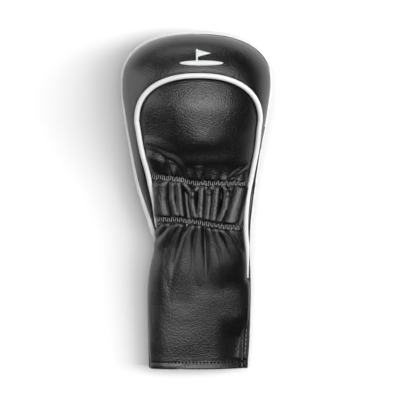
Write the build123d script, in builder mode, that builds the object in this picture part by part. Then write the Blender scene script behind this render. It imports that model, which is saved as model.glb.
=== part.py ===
"""Driver head cover: a padded synthetic-leather cover with piping and a gathered neck.

It lies on its back panel. X is across the cover, +Y points to the closed crown end,
-Y to the open mouth, and Z is up from the surface it lies on. A distance is measured
along the cover from the hem, and an inset is measured inwards from the leather's face.
"""

import math
import os
from typing import NamedTuple

from build123d import *

# Lengths along the cover, in millimetres
sleeve_length = 122.0  # hem to waist
waist_to_lower_row = 26.0
row_spacing = 40.5  # lower to upper elastic row
upper_row_to_widest = 99.5
crown_depth = 48.2  # widest station to the end of the leather
crown_exponent = 2.35  # squareness of the crown's outline

# Layers
leather_thickness = 1.2
foam_thickness = 3.5
lining_thickness = 2.5
layer_gap = 0.3
foam_start = 34.0  # above the upper elastic row
layer_ramp = 24.0  # length over which the lining moves in behind the foam

# Piping
piping_diameter = 5.0
piping_wrap = 0.6
piping_side_inset = 1.0  # centre line inside the leather's side line
piping_end_proud = 1.3  # centre line outside the leather's crown end
inner_piping_sink = 1.3  # its underside below the leather's face
slot_clearance = 0.6
tip_clearance = 1.5  # from the end of the slot to the inner piping's own ends
smoothest_bend = 0.45  # share of the shorter run taken by the arc at a point of the piping

# Where each piping dives into the side seam, from the hem
outer_tip_left = 130.0
outer_tip_right = 134.0
inner_tip_left = 143.0
inner_tip_right = 92.0
band_tip = 15.0  # the crown band ends this far above its outer piping's tip

# Inner arch, which parts the crown band from the front panel
arch_half_width = 60.2
arch_rise = 42.6
arch_below_widest = 39.0  # the arch's widest line below the head's widest station
arch_shift = 1.9
arch_exponent = 2.35

# Neck elastics and their zigzag rows
elastic_width = 6.0
elastic_thickness = 1.0
zigzag_height = 5.5
zigzag_pitch = 2.3
zigzag_stitch_length = 4.7
zigzag_margin = 2.0  # from the piping or the side seam to the first stitch
upper_row_slope = -0.06  # rise per millimetre towards +X
lower_row_slope = -0.10

# Thread
thread_width = 0.4
thread_thickness = 0.3
thread_lift = 0.5
seam_stitch_length = 3.0
seam_stitch_pitch = 4.5
seam_stitch_depth = 1.4  # behind the lining's outer face
seam_stitch_rise = 1.2  # above the side seam's middle
seam_stitch_angle = 4  # between stitches round the crown, in degrees

# Mouth
hem_fold = 10.0
hem_stitch_height = 6.5
hem_stitch_pitch = 3.6
hem_stitch_length = 2.8
hem_stitch_margin = 3.0  # from the side seam to the first stitch
seam_gap = 0.15  # half the gap between the panels where no piping parts them
lining_seam_gap = 2.0  # the same for the lining
elastic_seam_gap = 0.5  # the same for the elastics

# Emblem: a golf pennant on a green
emblem_above_arch = 12.6
emblem_shift = 4.5
green_length = 42.0
green_height = 5.0
pin_height = 13.5
pin_width = 1.6
pennant_length = 13.0
pennant_height = 7.5
embroidery_thickness = 0.6
embroidery_gap = 0.05  # from the leather's face
backing_thickness = 0.2
backing_length = 50.0
backing_height = 22.0

# How finely the forms are drawn
body_steps = 24  # sections from the hem to the widest station
crown_angles = (15, 30, 44, 57, 68, 77, 83.5)  # of the sections beyond it, in degrees
outline_step = 12  # between the points of an arch or crown outline, in degrees
mouth_overrun = 5.0  # of a hollow past the hem
seam_overrun = 10.0  # of the side seam's profile past both ends
seam_points = 16
slope_step = 0.2  # for the slope of a face
outer_leg_points = 9


class Station(NamedTuple):
    """A cross-section of the leather: distance from the hem, then its box."""

    distance: float
    half_width: float
    shift: float
    top: float
    bottom: float


waist = sleeve_length
lower_row = waist + waist_to_lower_row
upper_row = lower_row + row_spacing
widest = upper_row + upper_row_to_widest
leather_length = widest + crown_depth
piping_radius = piping_diameter / 2
inner_piping_lift = piping_radius - inner_piping_sink  # centre line above the leather's face
slot_half = piping_radius + slot_clearance
cover_length = leather_length + piping_end_proud + piping_radius
hem_y = -cover_length / 2
far = 3 * cover_length

stations = [
    Station(0.0, 49.8, 1.6, 31.0, 1.0),
    Station(0.23 * sleeve_length, 50.8, 2.1, 34.0, 0.0),
    Station(0.57 * sleeve_length, 51.6, 2.6, 37.0, 0.0),
    Station(0.76 * sleeve_length, 50.0, 4.0, 39.5, 0.5),
    Station(waist, 46.4, 6.3, 44.5, 4.0),
    Station(lower_row, 49.8, 3.8, 49.0, 7.0),
    Station(lower_row + 0.55 * row_spacing, 55.0, 1.3, 51.5, 7.0),
    Station(upper_row, 58.8, -0.5, 55.0, 5.5),
    Station(upper_row + 0.3 * upper_row_to_widest, 63.6, -1.0, 71.0, 1.5),
    Station(upper_row + 0.7 * upper_row_to_widest, 71.0, -0.4, 85.0, -1.5),
    Station(widest, 74.2, 0.0, 84.0, -2.0),
]

# Legs of the inner piping from tip to arch: distance from the hem, inset from the side line
left_leg = [
    (inner_tip_left, 3.7),
    (upper_row - 17.6, 10.3),
    (upper_row + 6.3, 13.0),
    (upper_row + 32.0, 11.0),
]
right_leg = [
    (inner_tip_right, 1.9),
    (waist - 2.0, 2.6),
    (lower_row - 8.0, 4.6),
    (upper_row - 17.6, 6.3),
    (upper_row + 6.3, 5.0),
    (upper_row + 32.0, 4.2),
]


def along(distance, field):
    """Smooth value of one station field at a distance from the hem."""
    points = [(s.distance, getattr(s, field)) for s in stations]
    if distance <= points[0][0]:
        return points[0][1]
    if distance >= points[-1][0]:
        return points[-1][1]

    def slope(k):
        if k in (0, len(points) - 1):
            return 0.0
        return (points[k + 1][1] - points[k - 1][1]) / (points[k + 1][0] - points[k - 1][0])

    i = max(k for k in range(len(points) - 1) if points[k][0] <= distance)
    (x0, v0), (x1, v1) = points[i], points[i + 1]
    span = x1 - x0
    t = (distance - x0) / span
    return (
        (2 * t**3 - 3 * t**2 + 1) * v0
        + (t**3 - 2 * t**2 + t) * span * slope(i)
        + (3 * t**2 - 2 * t**3) * v1
        + (t**3 - t**2) * span * slope(i + 1)
    )


def ramp(distance, start, end):
    """Smooth step from 0 at start to 1 at end."""
    t = min(max((distance - start) / (end - start), 0.0), 1.0)
    return t * t * (3 - 2 * t)


def seam_height(distance):
    """Height of the side seam, halfway between the cover's top and bottom."""
    return (along(distance, "top") + along(distance, "bottom")) / 2


def section(distance, inset=0.0):
    """Half width and half height of the cover's section, drawn in by the inset."""
    shrink = 1.0
    if distance > widest:
        reach = min((distance - widest) / (crown_depth - inset), 1.0)
        shrink = (1 - reach**crown_exponent) ** (1 / crown_exponent)
    half_width = along(distance, "half_width")
    half_height = (along(distance, "top") - along(distance, "bottom")) / 2
    return (half_width - inset) * shrink, (half_height - inset) * shrink


def face_point(x, distance, inset=0.0, side=1):
    """Point of the front (side 1) or back (side -1) face, and its outward normal."""

    def height(x, distance):
        half_width, half_height = section(distance, inset)
        across = (x - along(distance, "shift")) / max(half_width, 0.01)
        rise = half_height * math.sqrt(max(1 - across**2, 0.0))
        return seam_height(distance) + side * rise

    step = slope_step
    slope_x = (height(x + step, distance) - height(x - step, distance)) / (2 * step)
    slope_y = (height(x, distance + step) - height(x, distance - step)) / (2 * step)
    normal = Vector(-slope_x, -slope_y, 1).normalized() * side
    return Vector(x, hem_y + distance, height(x, distance)), normal


def form(inset_at, mouth=0.0):
    """Closed solid of the cover's shape, drawn in by inset_at(distance)."""
    head_inset = inset_at(widest)
    distances = [mouth] + [widest * k / body_steps for k in range(1, body_steps + 1)]
    for angle in crown_angles:
        distances.append(widest + (crown_depth - head_inset) * math.sin(math.radians(angle)))
    with BuildPart() as body:
        for distance in distances:
            inset = head_inset if distance > widest else inset_at(distance)
            with BuildSketch(Plane.XZ.offset(-(hem_y + distance))):
                with Locations((along(distance, "shift"), seam_height(distance))):
                    Ellipse(*section(distance, inset))
        loft()
        with BuildSketch(Plane.XY.offset(head_inset)):
            Rectangle(far, far)
        extrude(amount=-cover_length, mode=Mode.SUBTRACT)
    return body.part


def layer(outer_inset, inner_inset):
    """Closed skin between two insets, open at the mouth."""
    with BuildPart() as skin:
        add(form(outer_inset))
        add(form(inner_inset, mouth=-mouth_overrun), mode=Mode.SUBTRACT)
    return skin.part


def seam_edge(offset):
    """Points of the side seam's profile along the cover, moved up by the offset."""
    start, end = -seam_overrun, leather_length + seam_overrun
    distances = [start + (end - start) * k / seam_points for k in range(seam_points + 1)]
    return [(hem_y + d, seam_height(d) + offset) for d in distances]


def past_seam(toward, gap):
    """Everything that the half on the other side of the seam gives up."""
    edge = seam_edge(toward * gap)
    with BuildPart() as block:
        with BuildSketch(Plane.YZ):
            with BuildLine():
                Spline(*edge)
                outside = -toward * far
                Polyline(edge[-1], (edge[-1][0], outside), (edge[0][0], outside), edge[0])
            make_face()
        extrude(amount=far, both=True)
    return block.part


def piping_slot(side, tip):
    """Room for the outer piping between the two halves, on one side of X."""
    upper, lower = seam_edge(slot_half), seam_edge(-slot_half)[::-1]
    with BuildPart() as block:
        with BuildSketch(Plane.YZ.offset(-side)):
            with BuildLine():
                Spline(*upper)
                Spline(*lower)
                Line(upper[-1], lower[0])
                Line(lower[-1], upper[0])
            make_face()
        extrude(amount=side * far)
        add(slab(tip - slot_clearance, 2 * cover_length), mode=Mode.INTERSECT)
    return block.part


def half(skin, toward, gap=seam_gap):
    """The front (1) or back (-1) half of a skin, parted at the side seam."""
    with BuildPart() as piece:
        add(skin)
        add(past_seam(toward, gap), mode=Mode.SUBTRACT)
        add(piping_slot(-1, outer_tip_left), mode=Mode.SUBTRACT)
        add(piping_slot(1, outer_tip_right), mode=Mode.SUBTRACT)
    return piece.part


def side_line(side, distance, inset=0.0):
    """X of the leather's side line, drawn in by the inset."""
    return along(distance, "shift") + side * (section(distance)[0] - inset)


def leg_x(side, distance):
    """X of one leg of the inner piping."""
    leg = left_leg if side < 0 else right_leg
    (d0, inset0), (d1, inset1) = [
        pair for pair in zip(leg, leg[1:]) if pair[0][0] <= distance <= pair[1][0]
    ][0]
    inset = inset0 + (inset1 - inset0) * (distance - d0) / (d1 - d0)
    return side_line(side, distance, inset)


def rounded(angle, exponent):
    """Point of a unit superellipse at an angle in degrees."""
    c, s = math.cos(math.radians(angle)), math.sin(math.radians(angle))
    return math.copysign(abs(c) ** (2 / exponent), c), max(s, 0.0) ** (2 / exponent)


def arch_points(offset=0.0):
    """Plan points of the inner arch from its left tip to its right, moved outwards."""
    centre = widest - arch_below_widest
    line = [(side_line(-1, d, inset), hem_y + d) for d, inset in left_leg]
    for angle in range(180, -1, -outline_step):
        across, ahead = rounded(angle, arch_exponent)
        line.append((arch_shift + arch_half_width * across, hem_y + centre + arch_rise * ahead))
    line += [(side_line(1, d, inset), hem_y + d) for d, inset in right_leg[::-1]]
    moved = []
    for i, (x, y) in enumerate(line):
        before = line[max(i - 1, 0)]
        after = line[min(i + 1, len(line) - 1)]
        run = math.hypot(after[0] - before[0], after[1] - before[1])
        normal = ((before[1] - after[1]) / run, (after[0] - before[0]) / run)
        moved.append((x + offset * normal[0], y + offset * normal[1]))
    return moved


def outside_arch(offset, tip_left, tip_right):
    """Everything outside the arch in plan, above the two tips."""
    curve = arch_points(offset)
    low_left, low_right = hem_y + tip_left, hem_y + tip_right
    with BuildPart() as block:
        with BuildSketch():
            with BuildLine():
                Spline(*curve)
                Polyline(curve[-1], (far, curve[-1][1]), (far, far), (-far, far))
                Polyline((-far, far), (-far, curve[0][1]), curve[0])
            make_face()
            with Locations((-far / 2, low_left - far / 2), (far / 2, low_right - far / 2)):
                Rectangle(far, far, mode=Mode.SUBTRACT)
        extrude(amount=far)
    return block.part


def inside_band(skin):
    """The part of a front skin inside the inner arch, and all below its tips."""
    with BuildPart() as piece:
        add(skin)
        add(outside_arch(-slot_half, inner_tip_left, inner_tip_right), mode=Mode.SUBTRACT)
    return piece.part


def outside_band(skin):
    """The horseshoe of a front skin between the inner arch and the side seam."""
    tip_left, tip_right = outer_tip_left + band_tip, outer_tip_right + band_tip
    with BuildPart() as piece:
        add(skin)
        add(outside_arch(slot_half, tip_left, tip_right), mode=Mode.INTERSECT)
    return piece.part


def slab(low, high, slope=0.0):
    """Space between two distances from the hem, slanted across the cover."""
    edges = (low, -1), (low, 1), (high, 1), (high, -1)
    with BuildPart() as block:
        with BuildSketch(Plane.XY.offset(-far / 2)):
            with BuildLine():
                corners = [(s * far / 2, hem_y + d + slope * s * far / 2) for d, s in edges]
                Polyline(*corners, close=True)
            make_face()
        extrude(amount=far)
    return block.part


def tube_path(points):
    """A smooth path of straight runs and tangent arcs, each as large as its runs allow."""
    points = [Vector(*p) for p in points]
    radii = []
    for before, corner, after in zip(points, points[1:], points[2:]):
        run = min((corner - before).length, (after - corner).length)
        turn = math.radians((corner - before).get_angle(after - corner))
        radii.append(smoothest_bend * run / math.tan(turn / 2))
    with BuildLine() as path:
        FilletPolyline(*points, radius=radii)
    print("smallest piping bend radius", round(min(radii), 1))
    return path.wire()


def rope(path, radius, bore=0.0):
    """A round rod or tube along a path."""
    with BuildPart() as piece:
        with BuildSketch(Plane(origin=path @ 0, z_dir=path % 0)):
            Circle(radius)
            if bore:
                Circle(bore, mode=Mode.SUBTRACT)
        sweep(path=path)
    return piece.part


def stitches(places, length):
    """Separate flat bars of thread, each on a plane that gives its place and run."""
    with BuildPart() as row:
        with Locations(*places):
            Box(length, thread_width, thread_thickness)
    return row.part


def thread_place(x, distance, run, inset=0.0, side=1, lift=thread_lift):
    """Plane of one stitch on a face: it runs along the plan direction given."""
    point, normal = face_point(x, distance, inset, side)
    along_face = Vector(*run, 0) - normal * Vector(*run, 0).dot(normal)
    return Plane(point + normal * lift, x_dir=along_face, z_dir=normal)


def row_distance(x, row, slope):
    """Distance from the hem of a slanted row at one X."""
    return row + slope * (x - along(row, "shift"))


def row_places(row, slope, side, ends, pitch, run_at):
    """Even stitch places across a face, along a row that may slant."""
    x, last = ends
    places = []
    while x <= last:
        distance = row_distance(x, row, slope)
        places.append(thread_place(x, distance, run_at(len(places)), side=side))
        normal = places[-1].z_dir
        x += pitch * math.hypot(normal.Y, normal.Z) * math.cos(math.atan(slope))
    return places


def row_ends(row, side, margin):
    """X of the two ends of a row: at the inner piping in front, at the side seams behind."""
    if side > 0:
        return leg_x(-1, row) + slot_half + margin, leg_x(1, row) - slot_half - margin
    return side_line(-1, row, margin), side_line(1, row, margin)


def zigzag(row, slope, side):
    """One zigzag row: bars that lean left and right in turn."""

    def lean(count):
        return (zigzag_pitch, zigzag_height if count % 2 else -zigzag_height)

    ends = row_ends(row, side, zigzag_margin)
    places = row_places(row, slope, side, ends, zigzag_pitch, lean)
    return stitches(places, zigzag_stitch_length)


def elastic(row, slope, side):
    """One elastic tape behind a panel, across the neck."""
    inset = leather_thickness + layer_gap
    skin = layer(lambda d: inset, lambda d: inset + elastic_thickness)
    with BuildPart() as tape:
        add(half(skin, side, elastic_seam_gap))
        middle = row - slope * along(row, "shift")
        add(slab(middle - elastic_width / 2, middle + elastic_width / 2, slope), mode=Mode.INTERSECT)
        if side > 0:
            add(outside_arch(-slot_half, inner_tip_left, inner_tip_right), mode=Mode.SUBTRACT)
    return tape.part


def seam_places(side, start, end, inset_at):
    """Stitch places along one side seam, inside the cover."""
    places = []
    distance = start
    while distance < end:
        x = side_line(side, distance, inset_at(distance))
        ahead = side_line(side, distance + 1, inset_at(distance + 1))
        rise = seam_height(distance + 1) - seam_height(distance)
        place = Vector(x, hem_y + distance, seam_height(distance) + seam_stitch_rise)
        run = Vector(ahead - x, 1, rise)
        places.append(Plane(place, x_dir=run, z_dir=Vector(0, -rise, 1)))
        distance += seam_stitch_pitch
    return places


def crown_places(inset):
    """Stitch places round the crown end of the side seam."""
    half_width, depth = section(widest, inset)[0], crown_depth - inset
    height = seam_height(widest) + seam_stitch_rise
    outline = []
    for angle in range(0, 181, seam_stitch_angle):
        across, ahead = rounded(angle, crown_exponent)
        outline.append(Vector(half_width * across, hem_y + widest + depth * ahead, height))
    places = []
    for before, place, after in zip(outline, outline[1:], outline[2:]):
        places.append(Plane(place, x_dir=after - before, z_dir=Vector(0, 0, 1)))
    return places


def lining_inset(distance):
    """Outer inset of the lining: behind the leather, the elastics, then the foam."""
    over_leather = leather_thickness + layer_gap
    over_elastic = over_leather + elastic_thickness + layer_gap
    over_foam = over_leather + foam_thickness + layer_gap
    behind_elastic = ramp(distance, waist - layer_ramp / 2, lower_row - elastic_width)
    behind_foam = ramp(distance, upper_row + elastic_width, upper_row + elastic_width + layer_ramp)
    return (
        over_leather
        + (over_elastic - over_leather) * behind_elastic
        + (over_foam - over_elastic) * behind_foam
    )


def write(piece, label):
    """Name a piece and write it."""
    piece.part.label = label
    export_step(piece.part, f"parts/{label}.step")
    print(label, len(piece.part.solids()), "solids", round(piece.part.volume), "mm3")


os.makedirs("parts", exist_ok=True)

# Leather: one skin, parted at the side seam and along the inner piping
with BuildPart() as leather:
    add(form(lambda d: 0.0))
    with BuildPart(mode=Mode.PRIVATE) as hollow:
        add(form(lambda d: leather_thickness, mouth=-mouth_overrun))
        add(slab(-far / 2, hem_fold), mode=Mode.SUBTRACT)
        add(form(lambda d: 2 * leather_thickness + layer_gap / 2, mouth=-mouth_overrun))
    add(hollow.part, mode=Mode.SUBTRACT)

front_leather = half(leather.part, 1)

with BuildPart() as front_panel:
    add(inside_band(front_leather))
write(front_panel, "front_panel")

with BuildPart() as crown_band:
    add(outside_band(front_leather))
write(crown_band, "crown_band")

with BuildPart() as back_panel:
    add(half(leather.part, -1))
write(back_panel, "back_panel")

# Foam behind each head panel
foam_inset = leather_thickness + layer_gap
foam_low = upper_row + foam_start
with BuildPart() as foam:
    add(layer(lambda d: foam_inset, lambda d: foam_inset + foam_thickness))
    add(slab(foam_low, 2 * cover_length), mode=Mode.INTERSECT)

front_foam = half(foam.part, 1)

with BuildPart() as foam_front:
    add(inside_band(front_foam))
write(foam_front, "foam_front")

with BuildPart() as foam_band:
    add(outside_band(front_foam))
write(foam_band, "foam_band")

with BuildPart() as foam_back:
    add(half(foam.part, -1))
write(foam_back, "foam_back")

# Plush lining, from the hem fold to the crown
with BuildPart() as lining:
    add(layer(lining_inset, lambda d: lining_inset(d) + lining_thickness))
    add(slab(hem_fold + layer_gap, 2 * cover_length), mode=Mode.INTERSECT)

for toward, label in ((1, "lining_front"), (-1, "lining_back")):
    with BuildPart() as lining_half:
        add(half(lining.part, toward, lining_seam_gap))
    write(lining_half, label)

# Neck elastics and the zigzag rows that hold them
rows = ((upper_row, upper_row_slope, "upper"), (lower_row, lower_row_slope, "lower"))
for side, face in ((1, "front"), (-1, "back")):
    for row, slope, name in rows:
        with BuildPart() as tape:
            add(elastic(row, slope, side))
        write(tape, f"elastic_{face}_{name}")
        with BuildPart() as thread_row:
            add(zigzag(row, slope, side))
        write(thread_row, f"zigzag_{face}_{name}")

# Outer piping, along the side seam and round the crown
outer_route = []
for side, tip in ((-1, outer_tip_left), (1, outer_tip_right)):
    leg = []
    for k in range(outer_leg_points):
        distance = tip + (widest - tip) * k / outer_leg_points
        leg.append((side_line(side, distance, piping_side_inset), hem_y + distance, seam_height(distance)))
    outer_route.append(leg)
crown = []
for angle in range(180, -1, -outline_step):
    across, ahead = rounded(angle, crown_exponent)
    x = (section(widest)[0] - piping_side_inset) * across
    y = hem_y + widest + (crown_depth + piping_end_proud) * ahead
    crown.append((x, y, seam_height(widest)))
outer_path = tube_path(outer_route[0] + crown + outer_route[1][::-1])

with BuildPart() as outer_piping_cord:
    add(rope(outer_path, piping_radius - piping_wrap))
write(outer_piping_cord, "outer_piping_cord")

with BuildPart() as outer_piping_cover:
    add(rope(outer_path, piping_radius, piping_radius - piping_wrap))
write(outer_piping_cover, "outer_piping_cover")

# Inner piping, over the arch between the crown band and the front panel
inner_route = []
for x, y in arch_points():
    point, normal = face_point(x, y - hem_y)
    inner_route.append(point + normal * inner_piping_lift)
for end, ahead in ((0, 1), (-1, -2)):
    inward = (inner_route[ahead] - inner_route[end]).normalized()
    inner_route[end] = inner_route[end] + inward * tip_clearance
inner_path = tube_path(inner_route)

with BuildPart() as inner_piping_cord:
    add(rope(inner_path, piping_radius - piping_wrap))
write(inner_piping_cord, "inner_piping_cord")

with BuildPart() as inner_piping_cover:
    add(rope(inner_path, piping_radius, piping_radius - piping_wrap))
write(inner_piping_cover, "inner_piping_cover")

# Emblem on the crown band, with its backing behind the leather
emblem_y = hem_y + widest - arch_below_widest + arch_rise + emblem_above_arch
pole = emblem_shift - pennant_length / 3
foot = emblem_y + pin_height - pennant_height
backing_inset = leather_thickness + (layer_gap - backing_thickness) / 2
with BuildPart() as emblem_embroidery:
    add(layer(lambda d: -embroidery_gap - embroidery_thickness, lambda d: -embroidery_gap))
    with BuildSketch(Plane.XY.offset(seam_height(widest))):
        with Locations((emblem_shift, emblem_y)):
            Ellipse(green_length / 2, green_height / 2)
        with Locations((pole, emblem_y + pin_height / 2)):
            Rectangle(pin_width, pin_height)
        with BuildLine():
            Polyline(
                (pole, foot), (pole, foot + pennant_height),
                (pole + pennant_length, foot + pennant_height / 2), close=True,
            )
        make_face()
    extrude(amount=far, mode=Mode.INTERSECT)
write(emblem_embroidery, "emblem_embroidery")

with BuildPart() as emblem_backing:
    add(layer(lambda d: backing_inset, lambda d: backing_inset + backing_thickness))
    with BuildSketch(Plane.XY.offset(seam_height(widest))):
        with Locations((emblem_shift, emblem_y + pin_height / 3)):
            Rectangle(backing_length, backing_height)
    extrude(amount=far, mode=Mode.INTERSECT)
write(emblem_backing, "emblem_backing")

# Thread: the hem's topstitch, then the hidden seams
with BuildPart() as hem_stitch:
    for side in (1, -1):
        ends = side_line(-1, 0, hem_stitch_margin), side_line(1, 0, hem_stitch_margin)
        places = row_places(
            hem_stitch_height, 0.0, side, ends, hem_stitch_pitch, lambda count: (1, 0)
        )
        add(stitches(places, hem_stitch_length))
write(hem_stitch, "hem_stitch")

with BuildPart() as band_seam_stitch:
    count = int(inner_path.length / seam_stitch_pitch)
    band_places = []
    for k in range(count):
        place = inner_path.position_at(k / count)
        run = inner_path.tangent_at(k / count)
        distance = place.Y - hem_y
        tip = inner_tip_left if place.X < 0 else outer_tip_right
        if distance > tip + band_tip:
            inset = lining_inset(distance) - layer_gap
            band_places.append(thread_place(place.X, distance, (run.X, run.Y), inset, lift=0))
    add(stitches(band_places, seam_stitch_length))
write(band_seam_stitch, "band_seam_stitch")

with BuildPart() as side_seam_stitch:
    side_places = crown_places(lining_inset(widest) + seam_stitch_depth)
    for side in (-1, 1):
        start, end = hem_fold + seam_stitch_length, widest - seam_stitch_length
        side_places += seam_places(side, start, end, lambda d: lining_inset(d) + seam_stitch_depth)
    add(stitches(side_places, seam_stitch_length))
write(side_seam_stitch, "side_seam_stitch")
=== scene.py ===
import math

import bpy
import numpy as np
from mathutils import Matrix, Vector
from mathutils.bvhtree import BVHTree
from mathutils.kdtree import KDTree


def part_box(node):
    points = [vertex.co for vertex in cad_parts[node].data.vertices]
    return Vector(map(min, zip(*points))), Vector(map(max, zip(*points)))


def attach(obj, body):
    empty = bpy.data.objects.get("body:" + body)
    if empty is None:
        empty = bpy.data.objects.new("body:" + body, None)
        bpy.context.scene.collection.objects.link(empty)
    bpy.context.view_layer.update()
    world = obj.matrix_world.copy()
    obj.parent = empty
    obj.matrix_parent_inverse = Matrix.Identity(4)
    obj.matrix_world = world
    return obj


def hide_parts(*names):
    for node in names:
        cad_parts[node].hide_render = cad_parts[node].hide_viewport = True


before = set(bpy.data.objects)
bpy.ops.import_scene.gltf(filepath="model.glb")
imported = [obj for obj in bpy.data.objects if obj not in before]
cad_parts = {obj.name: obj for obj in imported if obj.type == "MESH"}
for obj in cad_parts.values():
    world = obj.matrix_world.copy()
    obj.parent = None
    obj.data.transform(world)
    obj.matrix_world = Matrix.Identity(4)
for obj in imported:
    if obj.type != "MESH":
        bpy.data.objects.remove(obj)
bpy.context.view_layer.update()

# The cover lies on its back: X across it, +Y to its crown end, Z up, in millimetres until a
# mesh is made. "d" is a distance along it from the hem, and an inset is measured inwards from
# the leather's face. The driving sizes repeat those of the CAD.
MM = 0.001
SLEEVE = 122.0
LOWER_ROW = SLEEVE + 26.0
UPPER_ROW = LOWER_ROW + 40.5
WIDEST = UPPER_ROW + 99.5
CROWN_DEPTH = 48.2
POWER = 2.35  # squareness of the crown and of the inner arch
LENGTH = WIDEST + CROWN_DEPTH
HEM_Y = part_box("front_panel")[0].y / MM

# Thicknesses, where the foam starts, how far the hem is turned in, and its row of stitches
LEATHER = 1.1
FOAM = 3.3
LINING = 2.3
TAPE = 0.9
BACKING = 0.2
FOAM_START = UPPER_ROW + 34.0
HEM_FOLD = 10.0
HEM_STITCH = 6.5
PIPING_RADIUS = 2.5
CORD_RADIUS = 1.8

# Lines of the elastic rows: x, distance from the hem. The front ones wander as they were sewn.
UPPER_FRONT = np.array([
    (-60, 195.3), (-44, 194.0), (-15, 190.8), (-5, 188.0), (20, 187.4), (49, 187.6), (62, 188),
])
LOWER_FRONT = np.array([
    (-60, 152), (-38, 151.6), (-18, 151.2), (2, 148.6), (16, 145.8), (32, 144), (60, 142.5),
])
UPPER_BACK = np.array([(-80, UPPER_ROW + 4.8), (80, UPPER_ROW - 4.8)])
LOWER_BACK = np.array([(-80, LOWER_ROW + 8.0), (80, LOWER_ROW - 8.0)])
ROWS = (
    ("front", "upper", UPPER_FRONT), ("front", "lower", LOWER_FRONT),
    ("back", "upper", UPPER_BACK), ("back", "lower", LOWER_BACK),
)

# Distance from the hem, half width, shift of the middle, top and bottom of each section
SECTIONS = np.array([
    (0.0, 49.8, 1.6, 31.0, 1.0),
    (0.23 * SLEEVE, 50.8, 2.1, 34.0, 0.0),
    (0.57 * SLEEVE, 51.6, 2.6, 37.0, 0.0),
    (0.76 * SLEEVE, 50.0, 4.0, 39.5, 0.5),
    (SLEEVE, 46.4, 6.3, 44.5, 4.0),
    (LOWER_ROW, 49.8, 3.8, 49.0, 7.0),
    (LOWER_ROW + 22.3, 55.0, 1.3, 51.5, 7.0),
    (UPPER_ROW, 58.8, -0.5, 55.0, 5.5),
    (UPPER_ROW + 29.9, 63.6, -1.0, 71.0, 1.5),
    (UPPER_ROW + 69.7, 71.0, -0.4, 85.0, -1.5),
    (WIDEST, 74.2, 0.0, 84.0, -2.0),
])

# The inner arch, its two legs (distance from the hem, inset from the side line) and the tips
ARCH_START = WIDEST - 39.0
ARCH_HALF = 60.2
ARCH_RISE = 42.6
ARCH_SHIFT = 1.9
LEFT_LEG = np.array([(143.0, 3.7), (170.9, 10.3), (194.8, 13.0), (220.5, 11.0), (ARCH_START, 11.5)])
RIGHT_LEG = np.array([
    (92.0, 1.9), (120.0, 2.6), (140.0, 4.6), (170.9, 6.3), (194.8, 5.0), (220.5, 4.2),
    (ARCH_START, 6.8),
])
OUTER_TIP_LEFT = 130.0
OUTER_TIP_RIGHT = 134.0
INNER_TIP_LEFT = LEFT_LEG[0, 0]
INNER_TIP_RIGHT = RIGHT_LEG[0, 0]
BAND_TIP_LEFT = 143.0
BAND_TIP_RIGHT = 137.0
TUCK = 0.7  # from the piping's centre line to the leather's edge under it


# ------------ the cover's form

def hermite(table, d, column=1):
    """Smooth value of a table's column at distances d, constant outside the table."""
    x, v = table[:, 0], table[:, column]
    slope = np.zeros_like(v)
    slope[1:-1] = (v[2:] - v[:-2]) / (x[2:] - x[:-2])
    d = np.clip(np.asarray(d, float), x[0], x[-1])
    i = np.clip(np.searchsorted(x, d, side="right") - 1, 0, len(x) - 2)
    span = x[i + 1] - x[i]
    t = (d - x[i]) / span
    return (
        (2 * t**3 - 3 * t**2 + 1) * v[i]
        + (t**3 - 2 * t**2 + t) * span * slope[i]
        + (3 * t**2 - 2 * t**3) * v[i + 1]
        + (t**3 - t**2) * span * slope[i + 1]
    )


def ramp(value, start, end):
    """Smooth step from 0 at start to 1 at end."""
    t = np.clip((value - start) / (end - start), 0, 1)
    return t * t * (3 - 2 * t)


def half_width(d):
    return hermite(SECTIONS, d, 1)


def shift(d):
    return hermite(SECTIONS, d, 2)


def seam_height(d):
    return (hermite(SECTIONS, d, 3) + hermite(SECTIONS, d, 4)) / 2


def round_end(reach):
    """Width left at a share of the way to a rounded end."""
    return (1 - np.clip(reach, 0, 1) ** POWER) ** (1 / POWER)


def skin(x, d, inset=0.0, side=1):
    """Points of the smooth front (1) or back (-1) face, drawn in by the inset."""
    x, d = np.broadcast_arrays(np.asarray(x, float), np.asarray(d, float))
    half = half_width(d) - inset
    height = (hermite(SECTIONS, d, 3) - hermite(SECTIONS, d, 4)) / 2 - inset
    left = round_end((d - WIDEST) / (CROWN_DEPTH - inset))
    rise = np.sqrt(np.maximum(left**2 - ((x - shift(d)) / half) ** 2, 0))
    z = seam_height(d) + side * height * rise
    return np.stack([x, HEM_Y + d, np.maximum(z, inset)], -1)


def face_normal(x, d, side=1):
    """Outward normals of the smooth face."""
    step = 0.2
    across = skin(x + step, d, 0, side) - skin(x - step, d, 0, side)
    up = skin(x, d + step, 0, side) - skin(x, d - step, 0, side)
    normal = np.cross(across, up) * side
    return normal / np.linalg.norm(normal, axis=-1, keepdims=True)


def side_line(side, d, inset=0.0):
    """X of the side seam, moved in by the inset."""
    return shift(d) + side * (half_width(d) - inset) * round_end((d - WIDEST) / CROWN_DEPTH)


def leg_x(side, d):
    """X of one leg of the inner piping."""
    return side_line(side, d, hermite(LEFT_LEG if side < 0 else RIGHT_LEG, d))


def rounded(angle):
    """Unit superellipse at an angle."""
    c, s = np.cos(angle), np.maximum(np.sin(angle), 0)
    return np.sign(c) * np.abs(c) ** (2 / POWER), s ** (2 / POWER)


def inner_line():
    """Plan line (x, d) of the inner piping, from its left tip over the arch to its right."""
    left = np.linspace(INNER_TIP_LEFT, ARCH_START, 90)
    c, s = rounded(np.radians(np.linspace(178, 2, 150)))
    right = np.linspace(ARCH_START, INNER_TIP_RIGHT, 130)
    x = np.concatenate([leg_x(-1, left), ARCH_SHIFT + ARCH_HALF * c, leg_x(1, right)])
    return x, np.concatenate([left, ARCH_START + ARCH_RISE * s, right])


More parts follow.
